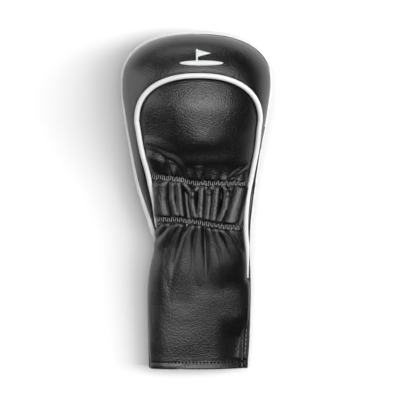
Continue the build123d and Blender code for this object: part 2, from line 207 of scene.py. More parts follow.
def run_along(points):
    """Distance of each point from the first, along the line they make."""
    return np.concatenate([[0], np.cumsum(np.linalg.norm(np.diff(points, axis=0), axis=1))])


def even(points, spacing):
    """The same line with its points evenly spaced."""
    run = run_along(points)
    at = np.linspace(0, run[-1], max(int(run[-1] / spacing), 2) + 1)
    return np.stack([np.interp(at, run, points[:, k]) for k in range(points.shape[1])], -1)


def noise(x, y, cell, seed):
    """Smooth noise from -1 to 1 with the given cell size."""
    table = np.random.default_rng(seed).uniform(-1, 1, (64, 64))
    u, v = np.asarray(x, float) / cell + 7.3, np.asarray(y, float) / cell + 3.1
    i, j = np.floor(u).astype(int), np.floor(v).astype(int)
    a, b = u - i, v - j
    a, b = a * a * (3 - 2 * a), b * b * (3 - 2 * b)
    low = table[i % 64, j % 64] * (1 - a) + table[(i + 1) % 64, j % 64] * a
    high = table[i % 64, (j + 1) % 64] * (1 - a) + table[(i + 1) % 64, (j + 1) % 64] * a
    return low * (1 - b) + high * b


# ------------ folds, valleys and gathers

# Each fold is a line of (x, d), its width at the line's two ends, then its height at them
NECK_FOLDS = [
    ([(-35.0, 187), (-37.0, 171), (-33.0, 153)], 4.6, 4.6, 3.2, 3.0),
    ([(-44.5, 186), (-46.5, 170), (-41.5, 154)], 2.6, 2.6, 1.2, 1.0),
    ([(-24.0, 188), (-23.6, 171), (-19.0, 153)], 2.3, 2.3, 3.6, 3.4),
    ([(-18.2, 188), (-16.2, 168), (-14.3, 153)], 2.5, 2.5, 3.4, 3.4),
    ([(-4.2, 178), (-4.3, 168), (-1.4, 153)], 2.4, 2.4, 3.8, 3.6),
    ([(-12.2, 186), (-8.5, 182), (-4.0, 176)], 2.0, 2.2, 2.4, 3.4),
    ([(2.3, 186), (0.0, 181.5), (-4.0, 176)], 2.0, 2.2, 2.4, 3.4),
    ([(5.4, 187), (4.3, 168), (3.5, 151)], 2.4, 2.4, 3.7, 3.7),
    ([(12.2, 179), (12.2, 168), (10.2, 151)], 2.4, 2.4, 3.8, 3.6),
    ([(7.4, 186), (9.4, 182.5), (12.2, 178)], 1.9, 2.1, 2.4, 3.3),
    ([(16.2, 186), (14.6, 182.5), (12.2, 178)], 1.9, 2.1, 2.4, 3.3),
    ([(20.4, 187), (18.8, 168), (16.2, 150)], 2.5, 2.5, 3.5, 3.5),
    ([(30.2, 178), (28.6, 165), (22.3, 150)], 2.4, 2.3, 3.7, 3.4),
    ([(26.7, 185), (28.6, 181), (30.2, 177)], 1.9, 2.1, 2.2, 3.2),
    ([(35.4, 185), (33.0, 181), (30.2, 177)], 1.9, 2.1, 2.2, 3.2),
    ([(46.0, 184), (39.8, 166), (34.3, 149)], 4.4, 4.4, 2.9, 3.3),
    ([(48.5, 172), (46.5, 158)], 2.2, 2.2, 1.0, 1.0),
]
SLEEVE_FOLDS = [
    ([(-19.0, 147), (-24.3, 141), (-32.8, 126), (-38.0, 98), (-39.0, 66)], 2.4, 7.0, 3.8, 0.0),
    ([(-15.6, 145), (-23.8, 125), (-30.0, 108), (-31.0, 80)], 2.4, 5.0, 3.0, 0.0),
    ([(-3.5, 144), (-8.3, 135), (-10.3, 122), (-12.5, 96), (-13.0, 68)], 2.5, 8.0, 3.9, 0.0),
    ([(2.8, 146), (1.4, 128), (0.6, 100), (0.8, 84)], 2.3, 5.0, 3.4, 0.0),
    ([(12.4, 142), (14.9, 128), (18.4, 104), (19.0, 76)], 2.2, 6.0, 3.4, 0.0),
    ([(18.4, 141), (22.6, 128), (30.0, 108), (32.0, 88)], 2.2, 4.6, 2.9, 0.0),
    ([(24.0, 141), (30.2, 133), (38.5, 114), (43.0, 92)], 2.6, 5.5, 3.8, 0.0),
    ([(-30.0, 145), (-37.0, 132)], 2.2, 3.5, 1.3, 0.0),
    ([(34.5, 134), (41.0, 121), (48.0, 107)], 1.5, 2.6, 0.9, 0.0),
]
HEAD_FOLDS = [
    ([(-51.0, 226), (-38.0, 222.5), (-27.0, 217)], 4.0, 5.0, 1.6, 0.6),
    ([(-46.0, 213), (-40.0, 203), (-35.5, 193)], 6.5, 4.8, 2.2, 2.2),
    ([(-26.0, 206), (-23.0, 199), (-23.5, 192)], 3.0, 2.2, 0.8, 1.6),
    ([(2.5, 200), (2.6, 192)], 2.8, 2.2, 1.0, 2.0),
    ([(34.0, 193.5), (42.0, 199), (51.0, 206)], 1.8, 1.6, 1.0, 0.4),
    ([(44.0, 190), (50.0, 198)], 2.2, 1.8, 1.2, 0.3),
    ([(17.0, 191), (19.5, 200)], 2.0, 3.0, 1.0, 0.1),
    ([(28.0, 190), (33.0, 202)], 2.0, 3.0, 0.9, 0.1),
    ([(-8.0, 191), (-9.5, 201)], 2.0, 3.0, 0.9, 0.1),
]
HEAD_CREASES = [
    ([(-49.5, 221), (-36.0, 216), (-24.5, 210.5), (-18.0, 203), (-13.5, 191)], 3.0, 3.4, 1.5, 2.0),
    ([(-29.5, 208), (-30.5, 194)], 2.4, 2.4, 0.6, 1.0),
    ([(31.5, 191.5), (42.0, 197), (50.5, 203)], 1.2, 1.2, 0.9, 0.4),
]
# Centre, radii and height of the wide swelling and the dents above the rows
HEAD_SWELLS = [
    ((-8, 206), (26, 9), -1.8),
    ((26, 207), (18, 10), -1.2),
    ((9, 226), (24, 13), 2.6),
    ((-46, 246), (20, 24), -2.6),
]
FOLD_REACH = 1.9  # a fold's full half width, as a multiple of its listed width
NECK_GAIN = 1.3  # how much taller the neck's folds stand than listed
NECK_BED = 2.5  # depth of the neck's creases below the smooth form
NECK_TILT = 0.07  # how much the neck falls towards the upper row
NECK_MIDDLE = 168  # where that fall is zero
SLEEVE_BED = 1.6  # how far the sleeve lies below the smooth form at its folds' start
HEAD_ROUNDNESS = 2.0  # of a fold's section: the smaller, the sharper its top
CREASE_ROUNDNESS = 1.3

# Reach of a row's groove along the leather, and its depth
ROW_REACH = 2.6
ROW_DEPTH = 2.0
BACK_ROW_REACH = 3.6
BACK_ROW_DEPTH = 1.9
# Depth and reach of the groove under the inner piping, and of the pull beside it
INNER_SEAM = ((2.1, 2.9), (0.5, 7.0))

# How far the sleeve's crest leans to the left, as a share of its half width, and how much more
# at the hem
SLEEVE_LEAN = 0.32
HEM_LEAN = 0.14
SLEEVE_SQUARE = 2.5  # squareness of the section, where 2 is an ellipse
NECK_SQUARE = 3.2
HEM_DROP = 4.4  # how far the leather over the mouth sags
HEM_CORNER = 7.0  # depth of the dent at the right of the hem
HEM_CORNER_POWER = 0.16  # how late the dent ends at the seam: the smaller, the later


def near_line(x, d, line):
    """Distance to a line of plan points, and how far along it the nearest place is, 0 to 1."""
    line = np.asarray(line, float)
    lengths = np.linalg.norm(np.diff(line, axis=0), axis=1)
    before = np.concatenate([[0], np.cumsum(lengths)])
    best = np.full(np.shape(x), np.inf)
    share = np.zeros(np.shape(x))
    for k, length in enumerate(lengths):
        (x0, d0), (x1, d1) = line[k], line[k + 1]
        t = np.clip(((x - x0) * (x1 - x0) + (d - d0) * (d1 - d0)) / length**2, 0, 1)
        away = np.hypot(x - x0 - t * (x1 - x0), d - d0 - t * (d1 - d0))
        closer = away < best
        best = np.where(closer, away, best)
        share = np.where(closer, (before[k] + t * length) / before[-1], share)
    return best, share


def folded(x, d, folds, roundness=2.7, sharpness=6.0):
    """Height of a set of folds: round ridges that meet their neighbours in sharp creases."""
    total = np.zeros(np.shape(x))
    for line, width0, width1, height0, height1 in folds:
        away, share = near_line(x, d, line)
        width = FOLD_REACH * (width0 + (width1 - width0) * share)
        height = height0 + (height1 - height0) * share
        arch = np.maximum(1 - (away / width) ** roundness, 0)
        total += (height * arch) ** sharpness
    return total ** (1 / sharpness)


def row_d(row, x):
    """Distance from the hem of an elastic row at x."""
    return hermite(row, x) if len(row) > 2 else np.interp(x, row[:, 0], row[:, 1])


def bump(x, d, centre, radii, height):
    """A soft round swelling, or a dent where the height is negative."""
    return height * np.exp(-(((x - centre[0]) / radii[0]) ** 2 + ((d - centre[1]) / radii[1]) ** 2))


def groove(away, reach):
    """1 on a line, and less the farther away from it, on both sides."""
    return np.exp(-((away / reach) ** 2))


def inner_valley(points):
    """How far the leather sinks into the seam under the inner piping."""
    flat = points.reshape(-1, 3)
    away = np.array([INNER_TREE.find(p)[2] for p in flat]).reshape(points.shape[:-1])
    return -sum(depth * groove(away, reach) for depth, reach in INNER_SEAM)


def outer_valley(points, x, d):
    """How far the leather sinks into the side seam, deeper where the outer piping lies in it."""
    away = np.abs(points[..., 2] - seam_height(d))
    left = ramp(d, OUTER_TIP_LEFT - 8, OUTER_TIP_LEFT + 6) * (1 - ramp(x, -30, 30))
    right = ramp(d, OUTER_TIP_RIGHT - 8, OUTER_TIP_RIGHT + 6) * ramp(x, -30, 30)
    left_depth = (0.6 + 0.6 * ramp(d, 200, 240)) * left
    right_depth = (0.9 + 0.8 * ramp(d, WIDEST - 5, WIDEST + 30)) * right
    return -(1.0 + left_depth + right_depth) * groove(away, 2.6 + 0.3 * left + 0.6 * right)


def hem_grooves(d):
    """The hem's sunk stitch row, and the roll of leather between it and the hem's edge."""
    return 0.25 * groove(d - 3.0, 2.2) - 0.35 * groove(d - HEM_STITCH, 1.0)


def share_across(x, d):
    """-1 at the left side seam, 0 in the middle and 1 at the right one."""
    return np.clip((x - shift(d)) / half_width(d), -1, 1)


def fullness(x, d):
    """Lift that squares the neck's section, and swells the sleeve's to the left."""
    across = share_across(x, d)
    height = (hermite(SECTIONS, d, 3) - hermite(SECTIONS, d, 4)) / 2
    neck = ramp(d, 80, 125)
    lean = SLEEVE_LEAN * (1 - neck) + HEM_LEAN * (1 - ramp(d, 15, 75))
    moved = np.clip(across + lean * (1 - across**2), -1, 1)
    square = SLEEVE_SQUARE + (NECK_SQUARE - SLEEVE_SQUARE) * neck
    full = (1 - np.abs(moved) ** square) ** (1 / square)
    return height * (full - np.sqrt(1 - across**2)) * (1 - ramp(d, UPPER_ROW - 4, UPPER_ROW + 8))


def gathered_edges(d):
    """Left and right edge of the front's gathered part: the inner piping, or the side seam."""
    left, right = side_line(-1, d), side_line(1, d)
    left += ramp(d, INNER_TIP_LEFT - 8, INNER_TIP_LEFT + 2) * (leg_x(-1, d) - left)
    right += ramp(d, INNER_TIP_RIGHT - 8, INNER_TIP_RIGHT + 2) * (leg_x(1, d) - right)
    return left, right


def front_gathers(x, d):
    """Height of the folds and the sunk rows, within the front's gathered part."""
    upper = d - row_d(UPPER_FRONT, x)
    lower = d - row_d(LOWER_FRONT, x)
    near_row = groove(upper, ROW_REACH) + groove(lower, ROW_REACH)
    between = ramp(lower, -1, 5) * (1 - ramp(upper, -5, 1))
    below = 1 - ramp(lower, -3, 2)
    above = ramp(upper, -1, 3)
    height = -ROW_DEPTH * near_row
    height += between * (NECK_GAIN * folded(x, d, NECK_FOLDS) - NECK_BED)
    height += below * (folded(x, d, SLEEVE_FOLDS) - SLEEVE_BED * ramp(d, 90, 140))
    height += fullness(x, d) - NECK_TILT * (d - NECK_MIDDLE) * between
    creases = folded(x, d, HEAD_CREASES, CREASE_ROUNDNESS)
    height += above * (folded(x, d, HEAD_FOLDS, HEAD_ROUNDNESS) - creases)
    for centre, radii, lift in HEAD_SWELLS:
        height += bump(x, d, centre, radii, lift) * above
    left, right = gathered_edges(d)
    inside = ramp(x - left, 0, 4) * ramp(right - x, 0, 4)
    return height * (inside * (1 - 0.35 * near_row))


def mouth_fall(x, d):
    """How far the front sinks over the mouth, most at the right of the hem."""
    within = 1 - share_across(x, d) ** 2
    fall = HEM_DROP * (1 - ramp(d, 5, 95)) * np.sqrt(within)
    return fall + HEM_CORNER * ramp(x, 15, 62) * (1 - ramp(d, 28, 54)) * within**HEM_CORNER_POWER


def front_relief(x, d):
    """Height of the front's folds, gathers and seams above its smooth form."""
    x, d = np.broadcast_arrays(np.asarray(x, float), np.asarray(d, float))
    points = skin(x, d)
    height = front_gathers(x, d) - mouth_fall(x, d)
    height += 0.35 * noise(x, d, 27, 3) * (1 - ramp(d, 110, 140))
    height += 0.35 * noise(x, d, 30, 5) * ramp(d, 200, 225)
    height += 0.12 * noise(x, d, 9, 8)
    return height + hem_grooves(d) + inner_valley(points) + outer_valley(points, x, d)


def back_relief(x, d):
    """Height of the back's folds, gathers and seams above its smooth form."""
    x, d = np.broadcast_arrays(np.asarray(x, float), np.asarray(d, float))
    points = skin(x, d, 0, -1)
    upper, lower = d - row_d(UPPER_BACK, x), d - row_d(LOWER_BACK, x)
    rows = groove(upper, BACK_ROW_REACH) + groove(lower, BACK_ROW_REACH)
    spread = x / (8.2 + 1.2 * noise(x, d, 40, 21)) + 0.5 * noise(x, d, 25, 11)
    ridge = 1 - np.abs(np.sin(math.pi * spread)) ** 1.5
    reach = np.exp(-(np.maximum(-lower, 0) / 22) ** 2 - (np.maximum(upper, 0) / 13) ** 2)
    height = (2.8 * (1 - ridge) - 1.4) * reach * (1 - 0.5 * rows) - BACK_ROW_DEPTH * rows
    height += 0.3 * noise(x, d, 24, 13)
    height -= 0.35 * groove(d - HEM_STITCH, 1.0)
    return height + outer_valley(points, x, d)


def relief(x, d, side):
    return front_relief(x, d) if side > 0 else back_relief(x, d)


# ------------ grids of places

def spaced(low, high, step, fine=()):
    """Distances from low to high at the step, and finer within each (start, end, step)."""
    out = [low]
    while out[-1] < high - 1e-6:
        size = min([step] + [s for a, b, s in fine if a <= out[-1] < b])
        out.append(min(out[-1] + size, high))
    return np.array(out)


def span_grid(d, left, right, columns):
    """Places in rows at distances d, from left to right, closer together at both edges."""
    s = np.linspace(-1, 1, columns)
    s = 0.45 * s + 0.55 * np.sin(s * math.pi / 2)
    middle, half = (left + right) / 2, (right - left) / 2
    return middle[:, None] + half[:, None] * s, np.repeat(d[:, None], columns, 1)


def panel_edges(d, tuck):
    """Left and right edge of the front panel at distances d up to the arch."""
    left = side_line(-1, d)
    right = side_line(1, d)
    at_leg = ramp(d, BAND_TIP_LEFT - 6, BAND_TIP_LEFT + 3)
    left += at_leg * (leg_x(-1, d) + tuck - left)
    at_leg = ramp(d, BAND_TIP_RIGHT - 6, BAND_TIP_RIGHT + 3)
    right += at_leg * (leg_x(1, d) - tuck - right)
    return left, right


def row_ends(row, side, margin):
    """X of the two ends of an elastic row, in from the piping in front or the side seam behind."""
    ends = []
    for k in (0, 1):
        x = (-50.0, 50.0)[k]
        for _ in range(4):
            d = row_d(row, x)
            if side > 0:
                x = float(panel_edges(np.array([d], float).ravel(), margin)[k][0])
            else:
                x = float(side_line(2 * k - 1, d, margin))
        ends.append(x)
    return ends


def front_places(start, step, columns, tuck, fine=()):
    """Places over the front panel, from a distance up to the top of the arch."""
    d = spaced(start, ARCH_START, step, fine)
    left, right = panel_edges(d, tuck)
    turn = math.radians(88.5) * np.linspace(0, 1, max(int(75 / step), 12))[1:]
    c, s = rounded(turn)
    left = np.concatenate([left, ARCH_SHIFT - (ARCH_HALF - tuck) * c])
    right = np.concatenate([right, ARCH_SHIFT + (ARCH_HALF - tuck) * c])
    d = np.concatenate([d, ARCH_START + (ARCH_RISE - tuck) * s])
    return span_grid(d, left, right, columns)


def back_places(start, step, columns, fine=(), edge=1.0):
    """Places over a whole face, from a distance up to the end of the crown."""
    d = spaced(start, WIDEST, step, fine)
    turn = math.radians(88.5) * np.linspace(0, 1, max(int(84 / step), 14))[1:]
    c, s = rounded(turn)
    half = np.concatenate([half_width(d), half_width(WIDEST) * c]) * edge
    d = np.concatenate([d, WIDEST + CROWN_DEPTH * edge * s])
    return span_grid(d, shift(d) - half, shift(d) + half, columns)


def band_places(start, step, columns, tuck, edge=1.0):
    """Places over the crown band, from its left tip round the crown to its right tip."""
    legs = []
    for side, tip in ((-1, BAND_TIP_LEFT), (1, BAND_TIP_RIGHT)):
        inner_low, outer_low = max(tip, start), max(tip - 3, start)
        count = int((ARCH_START - inner_low) / step)
        inner = np.linspace(inner_low, ARCH_START, count)
        outer = np.linspace(outer_low, WIDEST, count)
        outer_x = shift(outer) + side * half_width(outer) * edge
        legs.append(np.stack([leg_x(side, inner) + side * tuck, inner, outer_x, outer], -1))
    c, s = rounded(np.radians(np.linspace(179, 1, int(260 / step))))
    arch = np.stack([
        ARCH_SHIFT + (ARCH_HALF + tuck) * c, ARCH_START + (ARCH_RISE + tuck) * s,
        half_width(WIDEST) * edge * c, WIDEST + CROWN_DEPTH * edge * s,
    ], -1)
    line = np.concatenate([legs[0], arch, legs[1][::-1]])
    w = np.sin(np.linspace(0, 1, columns) * math.pi / 2)[None, :]
    x = line[:, 0:1] + (line[:, 2:3] - line[:, 0:1]) * w
    d = line[:, 1:2] + (line[:, 3:4] - line[:, 1:2]) * w
    return x[:, ::-1], d[:, ::-1]


# ------------ meshes

def grid_normals(points, side=1):
    across = np.gradient(points, axis=1)
    up = np.gradient(points, axis=0)
    normal = np.cross(across, up) * side
    return normal / np.maximum(np.linalg.norm(normal, axis=-1, keepdims=True), 1e-9)


def make(name, vertices, faces, material, slot, replaces=()):
    """A smooth object on the root body, from points in millimetres."""
    mesh = bpy.data.meshes.new(name)
    mesh.from_pydata((np.asarray(vertices) * MM).tolist(), [], faces)
    mesh.validate()
    mesh.shade_smooth()
    mesh.materials.append(material)
    piece = bpy.data.objects.new(name, mesh)
    bpy.context.scene.collection.objects.link(piece)
    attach(piece, "root")
    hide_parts(*replaces)
    return piece


def make_joined(name, parts, material, slot, replaces=()):
    """One object from several (vertices, faces) pairs."""
    vertices, faces, start = [], [], 0
    for points, loops in parts:
        vertices.append(points)
        faces += [[v + start for v in loop] for loop in loops]
        start += len(points)
    return make(name, np.concatenate(vertices), faces, material, slot, replaces)


def shell_mesh(points, thickness, side=1):
    """Vertices and faces of a closed sheet of some thickness about a grid of points."""
    normal = grid_normals(points, side)
    rows, columns = points.shape[:2]
    count = rows * columns
    vertices = np.concatenate([
        (points + normal * thickness / 2).reshape(-1, 3),
        (points - normal * thickness / 2).reshape(-1, 3),
    ])
    at = np.arange(count).reshape(rows, columns)
    outer = np.stack([at[:-1, :-1], at[:-1, 1:], at[1:, 1:], at[1:, :-1]], -1).reshape(-1, 4)
    loop = np.concatenate([at[0, :-1], at[:-1, -1], at[-1, :0:-1], at[:0:-1, 0]])
    ahead = np.roll(loop, -1)
    rim = np.stack([ahead, loop, loop + count, ahead + count], -1)
    faces = np.concatenate([outer, outer[:, ::-1] + count, rim])
    return vertices, (faces if side > 0 else faces[:, ::-1]).tolist()


def laid(x, d, inset, side=1):
    """A grid of places on a face, drawn in by the inset and moved by the face's relief."""
    points = skin(x, d, inset, side)
    points = points + grid_normals(points, side) * relief(x, d, side)[..., None]
    points[..., 2] = np.maximum(points[..., 2], inset)
    return points


def tube(points, radii, up, sides=12):
    """Vertices and faces of a closed tube along points."""
    points = np.asarray(points, float)
    count = len(points)
    run = np.gradient(points, axis=0)
    run /= np.maximum(np.linalg.norm(run, axis=1, keepdims=True), 1e-9)
    up = np.broadcast_to(np.asarray(up, float), points.shape)
    out = up - run * np.sum(up * run, axis=1, keepdims=True)
    out /= np.maximum(np.linalg.norm(out, axis=1, keepdims=True), 1e-9)
    beside = np.cross(run, out)
    angle = np.arange(sides) * 2 * math.pi / sides
    c, s = np.cos(angle)[None, :, None], np.sin(angle)[None, :, None]
    ring = out[:, None] * c + beside[:, None] * s
    radii = np.broadcast_to(np.asarray(radii, float), (count,))
    vertices = (points[:, None] + ring * radii[:, None, None]).reshape(-1, 3)
    at = np.arange(count * sides).reshape(count, sides)
    turned = np.roll(at, -1, axis=1)
    faces = np.stack([at[:-1], turned[:-1], turned[1:], at[1:]], -1).reshape(-1, 4).tolist()
    return vertices, [f[::-1] for f in faces] + [at[0].tolist(), at[-1, ::-1].tolist()]


def tree_of(piece):
    """Search tree of a piece's surface, in metres."""
    corners = [v.co[:] for v in piece.data.vertices]
    return BVHTree.FromPolygons(corners, [p.vertices[:] for p in piece.data.polygons])


def dropped(tree, x, d, side=1):
    """Places and normals of the leather under plan points, met from above, or below for the back."""
    places, normals = [], []
    for px, pd in zip(np.ravel(x), np.ravel(d)):
        start = Vector((px, HEM_Y + pd, 200.0 * side)) * MM
        place, normal, _, _ = tree.ray_cast(start, Vector((0, 0, -side)))
        if place is None:
            near = Vector(skin(px, pd, 0, side)) * MM
            place, normal, _, _ = tree.find_nearest(near)
        places.append(place / MM)
        normals.append(normal)
    return np.array(places), np.array(normals)


# ------------ materials

class Finish:
    """A procedural material on one Principled shader."""

    def __init__(self, name, colour, roughness, **sockets):
        self.material = bpy.data.materials.new(name)
        self.material.use_nodes = True
        self.nodes = self.material.node_tree.nodes
        self.links = self.material.node_tree.links
        self.shader = self.nodes["Principled BSDF"]
        self.shader.inputs["Base Color"].default_value = (*colour, 1)
        self.shader.inputs["Roughness"].default_value = roughness
        for socket, value in sockets.items():
            self.shader.inputs[socket.replace("_", " ")].default_value = value
        self.place = self.nodes.new("ShaderNodeTexCoord").outputs["Object"]
        self.normal = None

    def texture(self, kind, scale, **values):
        """A texture over the object's own coordinates, with its settings or sockets by name."""
        node = self.nodes.new(kind)
        for key, value in values.items():
            if hasattr(node, key):
                setattr(node, key, value)
            else:
                node.inputs[key.replace("_", " ")].default_value = value
        node.inputs["Scale"].default_value = scale
        self.links.new(self.place, node.inputs["Vector"])
        return node

    def tint(self, height, low, high, first, last):
        """Surface colour that goes from first to last as a texture goes from low to high."""
        node = self.nodes.new("ShaderNodeValToRGB")
        for element, position, colour in zip(node.color_ramp.elements, (low, high), (first, last)):
            element.position = position
            element.color = (*colour, 1)
        self.links.new(height, node.inputs["Fac"])
        self.links.new(node.outputs["Color"], self.shader.inputs["Base Color"])

    def vary_roughness(self, height, low, high, first, last):
        """Roughness that goes from first to last as a texture goes from low to high."""
        node = self.nodes.new("ShaderNodeMapRange")
        for socket, value in zip(("From Min", "From Max", "To Min", "To Max"), (low, high, first, last)):
            node.inputs[socket].default_value = value
        self.links.new(height, node.inputs["Value"])
        self.links.new(node.outputs["Result"], self.shader.inputs["Roughness"])

    def relief(self, height, depth, strength=1.0, invert=False):
        """Adds bump of a depth in millimetres."""
        node = self.nodes.new("ShaderNodeBump")
        node.inputs["Distance"].default_value = depth * MM
        node.inputs["Strength"].default_value = strength
        node.invert = invert
        self.links.new(height, node.inputs["Height"])
        if self.normal is not None:
            self.links.new(self.normal, node.inputs["Normal"])
        self.normal = node.outputs["Normal"]
        self.links.new(self.normal, self.shader.inputs["Normal"])


def shade_of(colour, share):
    """A colour made darker, or lighter where the share is over 1."""
    return tuple(share * c for c in colour)


def leather_finish(name, colour, scale):
    """Glossy leather: rounded grain cells with fine wrinkles and painted shade in the hollows between
    them, and a slow change of gloss.
    """
    finish = Finish(name, colour, 0.31, Specular_IOR_Level=0.95)
    cells = finish.texture("ShaderNodeTexVoronoi", scale, feature="SMOOTH_F1")
    wrinkles = finish.texture("ShaderNodeTexNoise", scale * 0.6, Detail=3.0, Distortion=0.8)
    grain = finish.texture("ShaderNodeTexNoise", scale * 3.1, Detail=2.0)
    wide = finish.texture("ShaderNodeTexNoise", 38, Detail=2.0)
    finish.relief(wrinkles.outputs["Fac"], 0.02, 0.5)
    finish.relief(cells.outputs["Distance"], 0.27, 1.0, invert=True)
    finish.relief(grain.outputs["Fac"], 0.03, 0.6)
    # Painted shade and light: darker in the hollows between the grain cells, lighter on their tops
    finish.tint(cells.outputs["Distance"], 0.15, 0.75, shade_of(colour, 1.25), shade_of(colour, 0.72))
    finish.vary_roughness(wide.outputs["Fac"], 0.3, 0.7, 0.28, 0.34)
    return finish.material


def woven_finish(name, colour, roughness, scale, depth, **sockets):
    """Cloth, tape or thread: slanting yarns with fuzz, and painted shade in the grooves between the
    yarns.
    """
    finish = Finish(name, colour, roughness, **sockets)
    weave = finish.texture("ShaderNodeTexWave", scale, bands_direction="DIAGONAL", Distortion=1.5)
    fuzz = finish.texture("ShaderNodeTexNoise", scale * 2.2, Detail=4.0)
    finish.relief(weave.outputs["Fac"], depth, 0.7)
    finish.relief(fuzz.outputs["Fac"], depth * 0.6, 0.6)
    # Painted shade: darker where the weave's bump is low
    finish.tint(weave.outputs["Fac"], 0.0, 1.0, shade_of(colour, 0.8), colour)
    return finish.material


def plush_finish(name, colour):
    """Short pile in tufts and clumps, with painted shade between the tufts and painted light on their
    tips.
    """
    finish = Finish(name, colour, 0.9, Sheen_Weight=0.6, Sheen_Roughness=0.5, Specular_IOR_Level=0.2)
    tufts = finish.texture("ShaderNodeTexNoise", 900, Detail=5.0, Roughness=0.7)
    clumps = finish.texture("ShaderNodeTexNoise", 170, Detail=3.0)
    finish.relief(clumps.outputs["Fac"], 1.2, 0.6)
    finish.relief(tufts.outputs["Fac"], 0.7, 0.8)
    # Painted shade low in the pile and painted light on the tufts' tips
    finish.tint(tufts.outputs["Fac"], 0.35, 0.7, shade_of(colour, 0.55), shade_of(colour, 1.3))
    return finish.material


def foam_finish(name, colour):
    """Foam with open pores, with painted shade inside the pores."""
    finish = Finish(name, colour, 0.85, Specular_IOR_Level=0.2)
    pores = finish.texture("ShaderNodeTexVoronoi", 1300, feature="F1")
    finish.relief(pores.outputs["Distance"], 0.25, 0.8)
    # Painted shade: darker in the pores' hollows
    finish.tint(pores.outputs["Distance"], 0.1, 0.7, shade_of(colour, 0.6), colour)
    return finish.material


def floor_finish(name):
    """Plain pale paper, very slightly uneven."""
    finish = Finish(name, (0.93, 0.93, 0.93), 0.8, Specular_IOR_Level=0.0)
    soft = finish.texture("ShaderNodeTexNoise", 3.0, Detail=1.0)
    finish.tint(soft.outputs["Fac"], 0.0, 1.0, (0.925, 0.925, 0.925), (0.935, 0.935, 0.935))
    return finish.material


BLACK = (0.012, 0.012, 0.012)
LEATHER_FINISH = leather_finish("black_leather", (0.0026, 0.0025, 0.0025), 880)
PIPING_FINISH = woven_finish(
    "white_piping", (0.84, 0.84, 0.86), 0.38, 900, 0.03, Specular_IOR_Level=0.5)
CORD_FINISH = woven_finish("piping_cord", (0.75, 0.75, 0.72), 0.9, 700, 0.15)
BLACK_THREAD_FINISH = woven_finish("black_thread", BLACK, 0.6, 2600, 0.06, Sheen_Weight=0.2)
THREAD_FINISH = woven_finish("grey_thread", (0.5, 0.5, 0.51), 0.5, 2600, 0.06, Sheen_Weight=0.3)
# Matte black with no gloss: painted shade for the needle holes and the gaps between the zigzag strokes
HOLE_SHADE_FINISH = woven_finish(
    "needle_hole_shade", (0.002, 0.002, 0.002), 0.95, 2600, 0.02, Specular_IOR_Level=0.0)
EMBROIDERY_FINISH = woven_finish(
    "white_embroidery", (0.84, 0.85, 0.86), 0.45, 2400, 0.04, Sheen_Weight=0.3)
BACKING_FINISH = woven_finish("backing", (0.7, 0.7, 0.68), 0.9, 1500, 0.08)
ELASTIC_FINISH = woven_finish("elastic", (0.03, 0.03, 0.03), 0.7, 1200, 0.15, Sheen_Weight=0.2)
LINING_FINISH = plush_finish("plush_lining", (0.028, 0.028, 0.031))
FOAM_FINISH = foam_finish("foam", (0.12, 0.12, 0.12))

# ------------ leather

inner_x, inner_d = inner_line()
inner_base = skin(inner_x, inner_d)
INNER_TREE = KDTree(len(inner_base))
for k, place in enumerate(inner_base):
    INNER_TREE.insert(place, k)
INNER_TREE.balance()

# Finer rows of the mesh at the hem and round the elastics: start, end, step
HEM_FINE = (0, 12, 0.8)
NECK_FINE = (LOWER_ROW - 13, UPPER_ROW + 15, 0.8)
PANEL_START = 0.9
PANEL_STEP = 1.5
COLUMNS = 211

# Distance from the hem, and share of the way inside, of each row that is turned in
HEM_TURN = ((HEM_FOLD, 1.0), (5.0, 1.0), (1.3, 1.0), (0.55, 0.85), (0.15, 0.5))
TURN_GAP = 1.12  # between the two layers' middles, in thicknesses of leather
HEM_FOLLOW = 0.6  # share of the face's relief that the turned-in leather follows


def hemmed(x, d, side):
    """A panel's middle surface, with its hem turned in."""
    outside = laid(x, d, LEATHER / 2, side)
    rows = []
    for distance, share in HEM_TURN:
        row = np.full((1, x.shape[1]), distance)
        inset = LEATHER * (0.5 + TURN_GAP * share)
        lift = relief(x[:1], row, side) * HEM_FOLLOW
        normal = face_normal(x[:1] * 0.999, row, side)
        rows.append(skin(x[:1], row, inset, side) + normal * lift[..., None])
    return np.concatenate(rows + [outside])


def leather_piece(name, points, node, side=1):
    """A leather panel about its middle surface."""
    return make(name, *shell_mesh(points, LEATHER, side), LEATHER_FINISH, "leather", [node])


x, d = front_places(PANEL_START, PANEL_STEP, COLUMNS, TUCK, [HEM_FINE, NECK_FINE])
front_panel = leather_piece("cover_front_panel", hemmed(x, d, 1), "front_panel")

x, d = band_places(0, PANEL_STEP, 41, TUCK)
crown_band = leather_piece("cover_crown_band", laid(x, d, LEATHER / 2), "crown_band")

x, d = back_places(PANEL_START, PANEL_STEP, COLUMNS, [HEM_FINE])
back_panel = leather_piece("cover_back_panel", hemmed(x, d, -1), "back_panel", -1)

# ------------ piping

def piping(name, path, ends, up):
    """A piping's white wrap and the cord in it, thinner where "ends" is below 1."""
    wrap = tube(path, PIPING_RADIUS * ends, up, 20)
    make_joined(f"{name}_wrap", [wrap], PIPING_FINISH, "piping_wrap", [f"{name}_cover"])
    up = np.broadcast_to(np.asarray(up, float), path.shape)
    cord = tube(path[2:-2], CORD_RADIUS * ends[2:-2], up[2:-2], 12)
    make_joined(f"{name}_core", [cord], CORD_FINISH, "piping_cord", [f"{name}_cord"])


# The inner piping rides on the leather's smooth form, and dives in at its two tips
inner_plan = even(np.stack([inner_x, inner_d], -1), 1.2)
base = skin(inner_plan[:, 0], inner_plan[:, 1])
up = face_normal(inner_plan[:, 0], inner_plan[:, 1])
run = run_along(base)
tip = ramp(run, -8, 62) * ramp(run[-1] - run, -6, 40)
wobble = 0.12 * noise(run, run * 0, 17, 31)
path = base + up * (1.0 - 1.9 * (1 - tip) + wobble)[:, None]
piping("inner_piping", path, 0.3 + 0.7 * tip, up)


